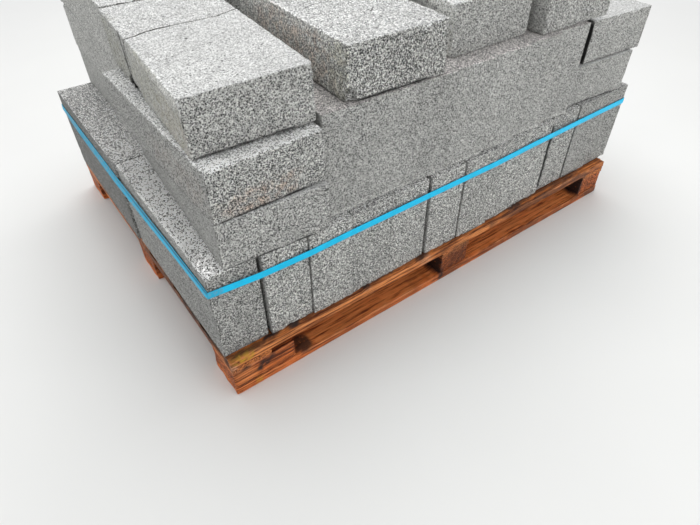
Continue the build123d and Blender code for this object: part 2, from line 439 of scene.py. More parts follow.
def wood_material(name, light, darker):
    """Wet sawn softwood. The rings run round the pith, which lies along the board. darker is
    added to how dark the wood is, which runs from 0 to 1."""
    s = Shader(name, 0.55, 0.2)
    grain = s.place("grain")
    parts = s.add("ShaderNodeSeparateXYZ", {"Vector": grain})
    stretched = s.vector("MULTIPLY", grain, (0.045, 1.0, 1.0))
    long_stretch = s.vector("MULTIPLY", grain, (0.02, 1.0, 1.0))

    # Rings, which are darker towards the late wood, fibres and long dark streaks
    wander = s.span(s.noise(stretched, 35 * MM), 0.0, 1.0, -11 * MM, 11 * MM)
    flat = s.math("POWER", parts.outputs["Y"], 2.0)
    tall = s.math("POWER", parts.outputs["Z"], 2.0)
    away = s.math("ADD", s.math("SQRT", s.math("ADD", flat, tall)), wander)
    rings = s.math("FRACT", s.times(away, 1 / RING_WIDTH))
    late = s.span(rings, 0.35, 1.0, 0.0, 1.0, True)
    late = s.times(late, s.span(rings, 0.96, 1.0, 1.0, 0.2))
    fibre = s.swing(stretched, 3.2 * MM, 0.0, 1.0, 4.0, 0.75)
    streaks = s.span(s.noise(long_stretch, 8.5 * MM, 4.0, 0.65), 0.40, 0.66)
    patchy = s.span(s.noise(s.place(), 50 * MM), 0.38, 0.68)

    dark = s.math("ADD", s.times(late, 0.50), s.times(streaks, 0.80))
    dark = s.math("ADD", dark, s.times(s.math("SUBTRACT", fibre, 0.5), 2.3))
    dark = s.math("ADD", dark, darker - 0.16)
    colour = s.mix(s.math("MINIMUM", s.math("MAXIMUM", dark, 0.0), 1.0), light, WOOD_DARK)
    colour = s.mix(s.times(patchy, 0.40), colour, WOOD_DARK)
    worn = s.math("SUBTRACT", s.span(fibre, 0.25, 0.8, 1.0, 0.2), s.times(streaks, 0.45))
    worn = s.math("MAXIMUM", s.math("SUBTRACT", worn, s.times(late, 0.3)), 0.0)
    colour = s.mix(s.times(s.value_of("pale"), worn), colour, WOOD_PALE)
    # Painted light where wood is lit: edges facing the light and the bottom boards in the
    # pockets.
    colour = s.mix(s.times(s.value_of("painted_light"), worn), colour, WOOD_PAINTED_LIGHT)
    mossy = s.times(s.value_of("moss"), s.span(s.noise(s.place(), 6 * MM, 4.0), 0.35, 0.55))
    colour = s.mix(mossy, colour, MOSS)
    # Dirt and litter, and painted shade in the pockets and beside the spacers.
    dirty_and_shaded = s.times(s.value_of("dirt_and_shade"), s.span(s.noise(s.place(), 7 * MM, 4.0), 0.24, 0.40))
    colour = s.mix(dirty_and_shaded, colour, WOOD_DIRT_AND_SHADE)
    s.link(colour, "Base Color")
    s.link(s.span(fibre, 0.0, 1.0, 0.42, 0.72), "Roughness")
    height = s.math("ADD", s.times(late, 0.5), s.times(fibre, 0.8))
    s.link(s.bump(height, 1.2 * MM, 0.9), "Normal")
    return s.material


# Painted shade in the strap's crease.
STRAP_CREASE_SHADE = rgb(0.002, 0.020, 0.05)
STRAP_BLUE = rgb(0.003, 0.60, 0.96)
# Teal for dust on the strap, and for painted shade along its left side.
STRAP_DUST_AND_SHADE_TEAL = rgb(0.02, 0.33, 0.52)
SEAL_GREY = rgb(0.5, 0.5, 0.51)


def strap_material():
    """Embossed blue plastic tape with a fine relief, cleaner on the front, with painted shade
    along its left side and in its fold.
    """
    s = Shader("strap_plastic", 0.42, 0.25)
    place = s.place()
    ribs = s.swing(place, 1.2 * MM, 0.0, 1.0, 2.0)
    dusty = s.span(s.noise(place, 20 * MM, 4.0), 0.40, 0.75, 0.0, 0.35)
    dull_and_shaded = s.math("MAXIMUM", dusty, s.value_of("dull_and_shaded"))
    # Teal where the strap is dusty, and along the left side as painted shade.
    colour = s.mix(dull_and_shaded, STRAP_BLUE, STRAP_DUST_AND_SHADE_TEAL)
    dirty_and_shaded = s.times(s.value_of("dull_and_shaded"), s.span(s.noise(place, 6 * MM), 0.45, 0.65, 0.0, 0.45))
    colour = s.mix(dirty_and_shaded, colour, EARTH_TINT)
    # The crease is painted dark, as its shade.
    colour = s.mix(s.value_of("crease_shade"), colour, STRAP_CREASE_SHADE)
    s.link(colour, "Base Color")
    s.link(s.span(dull_and_shaded, 0.0, 1.0, 0.36, 0.6), "Roughness")
    s.link(s.bump(ribs, 0.3 * MM, 0.6), "Normal")
    return s.material


def seal_material():
    """Galvanised steel with dull spangle and scratches."""
    s = Shader("seal_metal", 0.45, 0.5)
    s.surface.inputs["Metallic"].default_value = 1.0
    place = s.place()
    spangle = s.span(s.cells(place, 4 * MM), 0.0, 1.0, 0.75, 1.1)
    s.link(s.mix(1.0, SEAL_GREY, s.grey(spangle), "MULTIPLY"), "Base Color")
    s.link(s.swing(place, 3 * MM, 0.32, 0.6), "Roughness")
    s.link(s.bump(s.noise(place, 2 * MM), 0.2 * MM, 0.5), "Normal")
    return s.material


# Blocks
BLOCK_LENGTH = 440 * MM
# Small chips: their reach in millimetres, the share of larger ones and how much larger they
# are, and their depth as a share of their reach.
CHIP_REACH = (2.6, 7.5)
LARGE_SHARE = 0.12
LARGE_CHIP = 1.9
CHIP_DEPTH = (0.22, 0.42)
# A chip breaks out through the faces that it is this close to.
ARRIS_REACH = 4 * MM
# No arris is sharper than this. The lowest ones are rounded differently up to FOOT_HEIGHT.
LEAST_RADIUS = 0.4 * MM
FOOT_HEIGHT = 20 * MM
# The relief of the faces: its wavelength, its depth on the sides and on the ends, all in
# millimetres, and the number that sets its noise apart.
BLOCK_RELIEF = [(11, 0.25, 0.80, 5), (5, 0.14, 0.35, 6), (90, 0.5, 0.5, 7)]


# How far out points are tried, and how ragged a hollow is, as shares of its reach and depth.
BITE_TRIED = 1.6
BITE_RAGGED = 0.45
RAGGED_LENGTH = 7 * MM


def bite(points, at, out, reach, depth, seed):
    """Knocks out a shallow hollow that reaches so far along the arris each way. Returns
    which points it moved."""
    radius = (reach**2 + depth**2) / (2 * depth)
    centre = at + out * (radius - depth)
    near = np.flatnonzero(np.linalg.norm(points - at, axis=1) < reach * BITE_TRIED)
    away = points[near] - centre
    distance = np.linalg.norm(away, axis=1)
    wanted = radius + noise(points[near], RAGGED_LENGTH, seed) * depth * BITE_RAGGED
    inside = distance < wanted
    moved = near[inside]
    points[moved] = centre + (away / distance[:, None] * wanted[:, None])[inside]
    return moved


def out_of(at, size):
    """The direction out of a box at a point of its skin."""
    way = np.where(at < ARRIS_REACH, -1.0, np.where(at > size - ARRIS_REACH, 1.0, 0.0))
    return way / max(np.linalg.norm(way), TOUCHING)


def random_chips(size, rng, count):
    """Places on the arrises for small chips, each with its reach and depth."""
    chips = []
    for _ in range(count):
        axis = rng.choices((0, 1, 2), weights=list(size))[0]
        at = [size[i] * rng.choice((0, 1)) for i in range(3)]
        at[axis] = size[axis] * rng.random()
        reach = rng.uniform(*CHIP_REACH) * (LARGE_CHIP if rng.random() < LARGE_SHARE else 1.0)
        depth = reach * rng.uniform(*CHIP_DEPTH)
        chips.append((np.array(at), reach * MM, depth * MM))
    return chips


def chip_run(first, last, reach, depth, every, seed):
    """A ragged row of chips along an arris, between two places in millimetres."""
    rng = random.Random(seed)
    first, last = np.array(first, float), np.array(last, float)
    count = max(1, round(np.linalg.norm(last - first) / every))
    chips = []
    for i in range(count):
        at = first + (last - first) * (i + rng.random()) / count
        grow = rng.uniform(0.6, 1.4)
        chips.append((at * MM, reach * grow * MM, depth * grow * MM))
    return chips


def shape_block(points, size, rng, look, chip_count, sharp=(1.0, 1.0)):
    """Wears a plain block in its own frame. Returns how fresh the surface is at each point,
    where chips that face up are fresh, partly as a painted highlight. sharp says how round
    its left and right arrises are."""
    seed = rng.random() * 40
    at_end = on_faces(points, size)[:, 1]
    radius = 1.6 + 1.2 * noise(points, 23 * MM, seed) + 0.7 * noise(points, 8 * MM, seed + 3)
    radius *= np.interp(points[:, 0] / size[0], (0, 1), sharp)
    radius *= np.interp(points[:, 2], (0, FOOT_HEIGHT), (look.get("foot", 1.0), 1.0))
    outward = round_arrises(points, size, np.maximum(radius * MM, LEAST_RADIUS)[:, None])
    depth = np.zeros(len(points))
    for wavelength, on_sides, on_ends, number in BLOCK_RELIEF:
        share = unit_noise(points, wavelength * MM, seed + number)
        depth += np.where(at_end, on_ends, on_sides) * share
    points -= outward * depth[:, None] * MM
    fresh = np.zeros(len(points))
    chips = random_chips(size, rng, chip_count)
    chips += [chip for run in look.get("chips", []) for chip in chip_run(*run)]
    for at, reach, deep in chips:
        out = out_of(at, size)
        moved = bite(points, at, out, reach, deep, seed + reach * 900)
        # Only chips that face up are painted pale: partly fresh concrete, partly painted
        # highlight.
        if out[2] >= 0:
            fresh[moved] = 1.0
    return fresh


# How pale and how coarse the kinds of face are. The wide faces of a flat block are palest, and
# a ledge is the narrow top of a block on edge.
FLAT_RIM_PALE = 0.45
SIDE_PALE = 0.1
SIDE_COARSE = 0.64
FLAT_COARSE = 0.53
LEDGE_COARSE = 1.2
FRESH_SHARE = 0.8
# How a stain's edge wanders and over what share of its reach it fades.
STAIN_WANDER = 0.4
WANDER_LENGTH = 14 * MM
STAIN_FADE = (0.7, 1.15)


def stained(points, stains):
    """How stained each point is. Each stain is a soft-edged patch."""
    inner, outer = STAIN_FADE
    total = np.zeros(len(points))
    for at, reach, share in stains:
        away = np.linalg.norm((points / MM - np.array(at)) / np.array(reach), axis=1)
        away -= noise(points, WANDER_LENGTH, sum(at) * 0.01) * STAIN_WANDER
        total = np.maximum(total, share * np.clip((outer - away) / (outer - inner), 0, 1))
    return total


def block_values(name, start, points, size, fresh, shade, offset, look, dark_joints=(0.0, 0.0)):
    """The attributes that the concrete reads, from a block in its own frame. start holds
    the points before the wear, so that each is known by the face it lies on."""
    on = on_faces(start, size)
    on_end = on[:, 1]
    on_arris = on.sum(axis=1) > 1
    coarse = np.where(on_end, 1.0, SIDE_COARSE)
    if size[2] < size[0]:
        on_ledge = np.zeros(len(start), bool)
        pale = on[:, 2] * np.where(on_arris, FLAT_RIM_PALE, 1.0)
        coarse = np.where(on[:, 2], FLAT_COARSE, coarse)
    else:
        on_ledge = on[:, 2] & ~on_arris & (start[:, 2] > size[2] / 2)
        pale = on_ledge * look.get("ledge", 0.7) + (on[:, 0] & ~on_arris) * SIDE_PALE
        coarse = np.where(on_ledge, LEDGE_COARSE, coarse)
    on_left = (start[:, 0] < TOUCHING) & ~on_end
    # Open joints are painted dark along their arrises, as painted shade.
    joint = np.where(start[:, 0] < size[0] / 2, *dark_joints) * (on_end & on[:, 0])
    # Light stains are painted light; the dark stains are mostly painted shade, with some dirt.
    stains = {
        kind: stained(points, [row[1:] for row in look.get("stains", []) if row[0] == kind])
        for kind in ("light", "tint", "olive", "grime")
    }
    # A left side is painted lighter or darker by its left value, as painted shade.
    shade = shade * np.where(on_left, look.get("left", 1.0), 1.0)
    return {
        "place": points + offset,
        "marks": points + mark_offset(name),
        "pale": pale,
        "coarse": coarse * look.get("coarse", 1.0),
        "pink": on_ledge * look.get("pink", 0.0),
        "fresh": fresh * FRESH_SHARE,
        "shade": shade * (1 + stains["light"]),
        "tint": stains["tint"],
        "olive": stains["olive"],
        "grime": np.maximum(stains["grime"], joint),
    }


# How far down its top a block bulges, and how near its end, as shares of its height and length.
BULGE_HEIGHT = (0.72, 1.0)
BULGE_LENGTH = (0.9, 1.0)


def make_block(name, solid, node, material, rng, steps, chip_count, joints, look, bulge):
    """A worn block where the CAD has a plain one. joints says how open its left and right
    joints look, by rounder arrises and painted shade. bulge is how far its top reaches
    into the gap behind it or before it."""
    size = solid.size.copy()
    trim = look.get("trim", 0.0) * MM
    size[0] -= trim
    points, quads = box_skin(size, steps, BLOCK_EDGE_LINES)
    start = points.copy()
    sharp = [TIGHT_ARRIS + (OPEN_ARRIS - TIGHT_ARRIS) * joint for joint in joints]
    fresh = shape_block(points, size, rng, look, chip_count, sharp)
    if bulge:
        share = start[:, 1] / size[1] if bulge > 0 else 1 - start[:, 1] / size[1]
        grown = np.interp(start[:, 2] / size[2], BULGE_HEIGHT, (0, 1))
        points[:, 1] += bulge * grown * np.interp(share, BULGE_LENGTH, (0, 1))
    offset = np.array([rng.uniform(0, 5) for _ in range(3)])
    shade = rng.uniform(0.94, 1.06) * look.get("shade", 1.0)
    # Painted shade in the open joints.
    dark = [JOINT_PAINTED_SHADE * joint for joint in joints]
    values = block_values(name, start, points, size, fresh, shade, offset, look, dark)
    points[:, 0] += trim
    make_piece(name, solid.to_world(points), quads, material, [node], values)


# What sets single blocks apart, in the block's own frame and in millimetres:
# coarse, shade and foot: how strong its grain is, how light it is and how round its lowest
#     arrises are, as shares of the usual; how light it is takes in painted light and shade
# left: how light its left side is, as a share of the rest, which is painted shade
# ledge and pink: how pale and how pink its narrow top is, if it stands on edge
# trim: how much of its left side is cut away
# chips: runs of chips as first place, last place, reach, depth, spacing and seed
# stains: kind, middle, reach and share. Light stains are painted light, and the dark stains
#     are mostly painted shade in joints, cracks and under blocks, with some dirt
LOOKS = {
    "second_course_upper_block_01": {"coarse": 1.27, "left": 0.82, "chips": [
        ((0, 0, 100), (215, 0, 100), 6, 2.4, 6, 1),
        ((0, 0, 100), (0, 440, 100), 7, 2.4, 8, 2),
        ((0, 0, 100), (4, 0, 96), 15, 7, 4, 3),
        ((215, 0, 100), (215, 0, 40), 6, 2.2, 14, 4),
    ], "stains": [
        ("tint", (90, 0, 22), (80, 30, 26), 0.9),
        ("tint", (0, 120, 40), (30, 120, 40), 0.25),
        ("light", (107, 12, 100), (130, 26, 5), 0.42),
        ("light", (10, 220, 100), (26, 260, 5), 0.42),
        ("light", (20, 12, 100), (30, 24, 6), 0.5),
        ("grime", (110, 0, 0), (130, 4, 5), 0.95),
        ("grime", (0, 200, 0), (3, 280, 3), 0.6),
    ]},
    "second_course_lower_block_01": {"coarse": 0.85, "left": 0.82, "chips": [
        ((0, 0, 100), (215, 0, 100), 6, 2.2, 10, 5),
        ((0, 0, 100), (0, 440, 100), 6, 2.0, 12, 6),
    ], "stains": [("grime", (110, 0, 0), (130, 4, 4.5), 0.85)]},
    "top_course_front_block_01": {"coarse": 1.42, "shade": 0.95, "chips": [
        ((0, 0, 100), (215, 0, 100), 4.5, 1.5, 5, 7),
        ((0, 0, 0), (10, 0, 0), 14, 7, 6, 8),
        ((0, 0, 30), (0, 0, 12), 8, 3.5, 6, 28),
        ((0, 0, 100), (0, 300, 100), 5, 1.8, 10, 9),
    ], "stains": [
        ("tint", (0, 190, 45), (6, 170, 60), 0.6),
        ("grime", (4, 0, 22), (7, 5, 5), 0.7),
        ("grime", (14, 0, 12), (5, 5, 12), 0.7),
        ("light", (0, 200, 50), (6, 220, 80), 0.45),
        ("olive", (0, 20, 50), (6, 40, 70), 0.7),
        ("light", (107, 100, 100), (140, 200, 6), 0.06),
        ("grime", (110, 0, 0), (130, 4, 5), 0.95),
        ("grime", (0, 100, 0), (4, 110, 4), 0.8),
    ]},
    "first_course_block_01": {"shade": 0.88, "ledge": 1.0, "chips": [
        ((0, 0, 215), (0, 440, 215), 7, 2.4, 8, 20),
        ((0, 0, 215), (100, 0, 215), 6, 2.0, 8, 21),
        ((0, 0, 215), (3, 0, 212), 12, 5, 4, 22),
    ], "stains": [
        ("light", (40, 180, 215), (90, 360, 5), 0.55),
        ("light", (14, 10, 215), (40, 60, 5), 0.85),
    ]},
    "first_course_block_02": {"trim": 1.4},
    "first_course_block_03": {"shade": 1.07},
    "first_course_block_06": {"trim": 1.4},
    "first_course_block_09": {"stains": [("grime", (100, 0, 105), (4, 6, 112), 0.9)]},
    "first_course_block_10": {"stains": [("grime", (2, 0, 105), (9, 7, 114), 1.0)]},
    "first_course_block_11": {"coarse": 0.90, "shade": 0.90},
    "first_course_block_12": {"coarse": 0.88, "shade": 0.86},
    "first_course_block_13": {"ledge": 0.9, "left": 0.52, "chips": [
        ((0, 0, 215), (0, 440, 215), 6, 2.0, 9, 23),
        ((0, 0, 215), (3, 0, 209), 12, 5, 5, 24),
    ], "stains": [("light", (50, 100, 215), (90, 160, 5), 0.12)]},
    "second_course_lower_block_02": {"coarse": 0.60, "stains": [
        ("grime", (110, 0, 0), (120, 3, 3), 0.9),
    ]},
    "second_course_upper_block_02": {"trim": 12.0, "coarse": 0.64, "stains": [
        ("grime", (0, 40, 50), (4, 80, 70), 1.0),
        ("grime", (110, 0, 0), (120, 3, 3), 0.5),
    ]},
    "top_course_front_block_02": {"stains": [("light", (0, 8, 50), (2, 70, 90), 0.9)]},
    "broken_block_front": {"coarse": 0.82, "shade": 0.93, "chips": [
        ((0, 0, 100), (215, 0, 100), 4.5, 1.5, 5, 11),
        ((0, 0, 100), (0, 0, 88), 11, 4.5, 7, 12),
        ((215, 0, 92), (215, 0, 34), 7, 2.8, 9, 13),
        ((0, 0, 0), (215, 0, 0), 6, 2.6, 7, 14),
        ((0, 262, 0), (0, 300, 0), 20, 10, 9, 15),
        ((0, 0, 100), (0, 280, 100), 5, 1.6, 9, 16),
        ((0, 278, 100), (215, 300, 100), 4, 1.5, 9, 17),
    ], "stains": [
        ("olive", (0, 140, 40), (6, 170, 60), 0.7),
        ("tint", (0, 60, 30), (6, 80, 40), 0.4),
        ("light", (0, 110, 92), (4, 130, 9), 0.35),
        ("grime", (0, 2, 62), (3, 3, 10), 0.6),
        ("grime", (0, 285, 4), (14, 34, 14), 1.0),
        ("grime", (110, 0, 0), (130, 4, 5), 0.85),
        ("grime", (0, 304, 60), (4, 6, 60), 0.8),
    ]},
    "broken_block_back": {"left": 0.90, "chips": [
        ((0, 0, 0), (0, 14, 0), 13, 6, 6, 18),
        ((0, 0, 100), (0, 140, 100), 5, 1.6, 9, 19),
    ], "stains": [
        ("olive", (0, 390, 40), (24, 100, 60), 0.7),
        ("grime", (0, 306, 4), (14, 16, 14), 1.0),
        ("grime", (0, 302, 60), (4, 6, 60), 0.8),
    ]},
}

# The same for whole groups. What a single block has goes before it.
GROUP_LOOKS = {
    "first_course_blocks": {"coarse": 1.22, "ledge": 0.95, "pink": 0.1, "left": 0.86},
    "second_course_blocks_on_edge": {
        "coarse": 0.66, "shade": 0.95, "ledge": 0.9, "pink": 0.5, "foot": 0.15,
        "stains": [("light", (50, 0, 3), (80, 3, 6), 0.35)],
    },
    "second_course_lower_flat_blocks": {"coarse": 0.85},
    "top_course_front_blocks": {"coarse": 0.85},
}

# How open the joints between blocks of a front row on edge look, from 0 to 1, by the number
# of the block to the left. An open joint has rounder arrises and painted shade. The others look
# closed.
FRONT_JOINTS = {
    "first_course_blocks": {0: 0.8, 1: 1.0, 2: 0.35, 5: 0.9, 6: 0.5, 9: 0.9, 10: 0.3, 12: 0.8},
    "second_course_blocks_on_edge": {0: 0.8, 3: 0.35, 5: 0.2, 7: 0.8},
}
OTHER_JOINT = 0.6
# How dark the painted shade in a fully open joint is.
JOINT_PAINTED_SHADE = 0.85
TIGHT_ARRIS = 0.35
OPEN_ARRIS = 1.3


def joints_of(node, number):
    """How open the joints at the left and the right of a block look."""
    joints = FRONT_JOINTS.get(node, {})
    if number > max(joints, default=0):
        return OTHER_JOINT, OTHER_JOINT
    return joints.get(number - 1, 0.0), joints.get(number, 0.0)


# The back row away from the near end doesn't show in the photo, so its mesh is coarser.
REAR_FROM = (-400 * MM, 0.0)
REAR_COARSER = 1.5
# Groups of blocks as node, name of the pieces, spacing of the grid lines in millimetres and
# number of small chips.
BLOCK_GROUPS = [
    ("first_course_blocks", "first_course_block", (5, 27, 5), 40),
    ("second_course_blocks_on_edge", "second_course_edge_block", (5, 11, 6), 50),
    ("second_course_lower_flat_blocks", "second_course_lower_block", (6, 6, 5), 90),
    ("second_course_upper_flat_blocks", "second_course_upper_block", (6, 6, 5), 90),
    ("top_course_front_blocks", "top_course_front_block", (6, 6, 5), 90),
    ("top_course_back_blocks", "top_course_back_block", (6, 8, 6), 90),
    ("top_course_near_back_block", "top_course_near_back_block_1", (6, 7, 6), 90),
]
# The near block of each row of the first course. Their tops nearly meet under the ledge.
FIRST_FRONT = 1
FIRST_BACK = 13
FIRST_APART = 0.3 * MM


def build_blocks(material):
    rng = random.Random(7)
    for node, name, steps, chip_count in BLOCK_GROUPS:
        solids = solids_of(node)
        for number, solid in enumerate(solids, 1):
            # Blocks that share a name are numbered by Blender.
            label = f"{name}_{number:02d}" if node.endswith("blocks") else name
            look = GROUP_LOOKS.get(node, {}) | LOOKS.get(label, {})
            bulge = 0.0
            if node == "first_course_blocks" and number in (FIRST_FRONT, FIRST_BACK):
                front, back = solids[FIRST_FRONT - 1], solids[FIRST_BACK - 1]
                gap = back.low[1] - front.low[1] - front.size[1]
                bulge = (gap / 2 - FIRST_APART) * (1 if number == FIRST_FRONT else -1)
            joints = joints_of(node, number)
            rear = solid.centre[0] > REAR_FROM[0] and solid.centre[1] > REAR_FROM[1]
            used = [step * REAR_COARSER for step in steps] if rear else steps
            make_block(label, solid, node, material, rng, used, chip_count, joints, look, bulge)
    make_broken_block(material, rng)


# The broken block. The break is measured from the front end of the whole block: along the
# block at each height on its left side, and how far it strays on its way across the top.
BREAK_HEIGHTS = [0, 22, 47, 66, 88, 100]
BREAK_ALONG = [305, 299, 287, 289, 280, 264]
BREAK_TURN = math.radians(5.0)
BREAK_ACROSS = [-5, 16, 37, 59, 79, 98, 134, 172, 206, 220]
BREAK_STRAY = [-4, -3, 5, 7, 4, 4, -2, -6, 3, 4]
# The gap between the pieces on its way across, how it spreads at the bottom left, and crumbs.
BREAK_GAP_ACROSS = [0, 65, 95, 215]
BREAK_GAP = [2.2, 1.8, 0.6, 0.5]
BREAK_SPREAD = 5.0 * MM
SPREAD_WIDTH = 70 * MM
CRUMB_LENGTH = 9 * MM
CRUMB_DEPTH = 1.2 * MM
BROKEN_STEPS = (5, 6, 5)
BROKEN_CHIPS = 40
BROKEN_SHADE = 1.03


def break_along(across, height):
    """How far along the whole block the break lies."""
    side = np.interp(height / MM, BREAK_HEIGHTS, BREAK_ALONG) * MM
    stray = np.interp(across / MM, BREAK_ACROSS, BREAK_STRAY) * MM
    return side + across * math.tan(BREAK_TURN) + stray


def make_broken_block(material, rng):
    """Both pieces. Each is worn as a plain block, and its end is then bent to the break."""
    for node, name, is_front in (
        ("broken_block_front_piece", "broken_block_front", True),
        ("broken_block_back_piece", "broken_block_back", False),
    ):
        solid = solids_of(node)[0]
        size = solid.size
        shift = 0.0 if is_front else size[1] - BLOCK_LENGTH
        points, quads = box_skin(size, BROKEN_STEPS, BLOCK_EDGE_LINES)
        start = points.copy()
        share = start[:, 1] / size[1]
        break_at = break_along(start[:, 0], start[:, 2])
        break_at += noise(start * np.array([1, 0, 1]), CRUMB_LENGTH, 2.0) * CRUMB_DEPTH
        if is_front:
            low = np.clip(1 - start[:, 2] / size[2], 0, 1)
            spread = low * np.clip(1 - start[:, 0] / SPREAD_WIDTH, 0, 1) * BREAK_SPREAD
            along = share * (break_at - spread)
        else:
            break_at += np.interp(start[:, 0] / MM, BREAK_GAP_ACROSS, BREAK_GAP) * MM
            along = break_at + share * (BLOCK_LENGTH - break_at)
        offset = np.array([rng.random() * 40, 1.0, 2.0])
        look = LOOKS[name]
        fresh = shape_block(points, size, rng, look, BROKEN_CHIPS)
        points[:, 1] += along - start[:, 1]
        values = block_values(name, start, points, size, fresh, BROKEN_SHADE, offset, look)
        world = solid.to_world(points + np.array([0.0, shift, 0.0]))
        make_piece(name, world, quads, material, [node], values)


# The pallet
# Stains of the pallet as middle, reach and share, in millimetres in the frame of the solids.
# The dark stains are dirt and litter together with painted shade in the pockets, beside the
# spacers and at the left end of the deck. The stains that lighten are painted light.
WOOD_STAINS = {
    "dirt_and_shade": [
        ((-545, -460, 104), (52, 8, 6), 0.75),
        ((-500, -455, 104), (18, 8, 6), 1.0),
        ((-450, -456, 104), (17, 8, 7), 1.0),
        ((-261, -462, 104), (12, 10, 8), 1.0),
        ((-100, -460, 104), (22, 8, 6), 0.9),
        ((20, -459, 104), (30, 6, 5), 0.7),
        ((220, -460, 104), (42, 8, 6), 0.95),
        ((420, -459, 104), (60, 6, 5), 0.7),
        ((-600, -300, 95), (8, 200, 16), 1.0),
        ((-600, -180, 80), (8, 300, 16), 0.75),
        ((-568, -470, 66), (11, 8, 6), 0.95),
        ((-426, -442, 19), (28, 30, 6), 0.9),
        ((-34, -420, 45), (12, 76, 66), 1.0),
        ((510, -420, 45), (12, 76, 66), 1.0),
        ((10, -470, 46), (64, 8, 44), 0.5),
        ((10, -470, 9), (50, 6, 12), 0.6),
        ((-250, -470, 9), (200, 6, 12), 0.2),
        ((300, -470, 9), (240, 6, 12), 0.6),
        ((570, -470, 9), (50, 6, 12), 0.8),
        ((330, -470, 95), (230, 6, 10), 0.6),
        ((0, -454, 104), (640, 4.5, 4), 0.8),
        ((-538, -470, 43), (7, 9, 9), 1.0),
        ((-531, -470, 57), (7, 9, 9), 1.0),
        ((-522, -470, 50), (9, 9, 6), 1.0),
        ((-508, -470, 62), (9, 9, 7), 1.0),
    ],
    "painted_light": [
        ((-570, -470, 40), (30, 6, 30), 0.5),
        ((-535, -470, 97), (62, 6, 9), 0.9),
        ((-250, -470, 97), (380, 6, 8), 0.5),
        ((30, -470, 95), (18, 8, 14), 0.8),
        ((90, -470, 92), (75, 8, 5), 0.7),
        ((-300, -430, 19), (330, 46, 6), 1.0),
        ((320, -430, 19), (330, 46, 6), 1.0),
    ],
    "pale": [
        ((-594, -470, 88), (13, 10, 13), 1.0),
        ((-90, -470, 95), (22, 8, 12), 0.7),
    ],
    "moss": [
        ((-566, -466, 99), (28, 12, 9), 0.9),
        ((-548, -470, 14), (12, 12, 10), 0.8),
    ],
}


# Dirt and painted shade that lie on top of a board raise it as litter, by this much at most.
LITTER_HEIGHT = 10.0 * MM
# Relief is drawn out along the grain, and the last millimetres at both ends are rougher.
ALONG_GRAIN = 0.12
ROUGH_END = 3 * MM
# How far from an arris its wood is paler.
PALE_ARRIS = 3 * MM
# How far the pith lies to the side of a board's middle, and above or below it.
PITH_ASIDE = 0.06
PITH_AWAY = (0.03, 0.09)


def make_board(name, solid, node, material, rng, step):
    """A sawn board or wooden block: worn arrises, an uneven surface, rough ends and its grain.
    """
    size = solid.size
    long_axis = int(np.argmax(size))
    points, quads = box_skin(
        size, [step[0] if i == long_axis else step[1] for i in range(3)], BOARD_EDGE_LINES
    )
    start = points.copy()
    seed = rng.random() * 40
    stretch = np.ones(3)
    stretch[long_axis] = ALONG_GRAIN
    radius = (1.5 + 1.1 * noise(points * stretch, 14 * MM, seed)) * MM
    outward = round_arrises(points, size, np.maximum(radius, LEAST_RADIUS)[:, None])
    along = points[:, long_axis]
    at_end = (along < ROUGH_END) | (along > size[long_axis] - ROUGH_END)
    dip = 0.7 * unit_noise(points, 60 * MM, seed + 1)
    dip += 0.6 * unit_noise(points * stretch, 7 * MM, seed + 2)
    dip += 1.8 * unit_noise(points, 9 * MM, seed + 4) * at_end
    points -= outward * dip[:, None] * MM
    world = solid.to_world(points)
    order = [long_axis] + [i for i in range(3) if i != long_axis]
    middle = np.array([0.0, size[order[1]] / 2, size[order[2]] / 2])
    pith = [rng.uniform(0, 9), rng.uniform(-PITH_ASIDE, PITH_ASIDE)]
    pith.append(rng.choice((-1, 1)) * rng.uniform(*PITH_AWAY))
    values = {
        "place": points + rng.uniform(0, 5),
        "grain": points[:, order] - middle + np.array(pith),
    }
    for kind, stains in WOOD_STAINS.items():
        values[kind] = stained(world, stains)
    from_arris = np.sort(np.minimum(start, size - start), axis=1)[:, 1]
    worn = 0.9 * unit_noise(points * stretch, 9 * MM, seed + 6)
    worn *= np.clip(1 - from_arris / PALE_ARRIS, 0, 1)
    values["pale"] = np.maximum(values["pale"], worn)
    on_top = start[:, 2] > size[2] - TOUCHING
    litter = values["dirt_and_shade"] * unit_noise(world, 6 * MM, seed + 8) * LITTER_HEIGHT
    world[:, 2] += on_top * litter
    make_piece(name, world, quads, material, [node], values)


def build_pallet():
    deck = wood_material("deck_wood", WOOD_LIGHT, 0.0)
    spacer = wood_material("spacer_wood", WOOD_RED, 0.36)
    # The bottom boards are painted lighter, partly as painted light in the pockets under the
    # deck.
    bottom = wood_material("bottom_wood", WOOD_RED, -0.30)
    rng = random.Random(23)
    groups = [
        ("deck_boards", "deck_board", deck, "deck_wood", (7, 5)),
        ("cross_boards", "cross_board", deck, "deck_wood", (9, 7)),
        ("spacer_blocks", "spacer_block", spacer, "spacer_wood", (6, 6)),
        ("bottom_boards", "bottom_board", bottom, "deck_wood", (8, 6)),
    ]
    for node, name, material, slot, step in groups:
        for number, solid in enumerate(solids_of(node), 1):
            make_board(f"{name}_{number}", solid, node, material, rng, step)


# The strap: a ring of sections, with corners at these shares of its width on both sides.
STRAP_STEP = 5 * MM
STRAP_SHARES = [i / 7 for i in range(8)]
STRAP_THICKNESS = 0.8 * MM
STRAP_CROWN = 0.2 * MM
LEAST_TURN = 1e-9


def half_hull(points):
    """The outermost of points in order, on one side."""
    hull = []
    for p in points:
        while len(hull) > 1:
            last = hull[-1] - hull[-2]
            ahead = p - hull[-2]
            if last[0] * ahead[1] - last[1] * ahead[0] > LEAST_TURN:
                break
            hull.pop()
        hull.append(p)
    return hull[:-1]


def strap_path():
    """The outside of the strap seen from above: a closed ring of corners, in order."""
    corners = {(round(v.co[0], 5), round(v.co[1], 5)) for v in nodes["strap"].data.vertices}
    points = np.array(sorted(corners))
    return np.array(half_hull(points) + half_hull(points[::-1]))


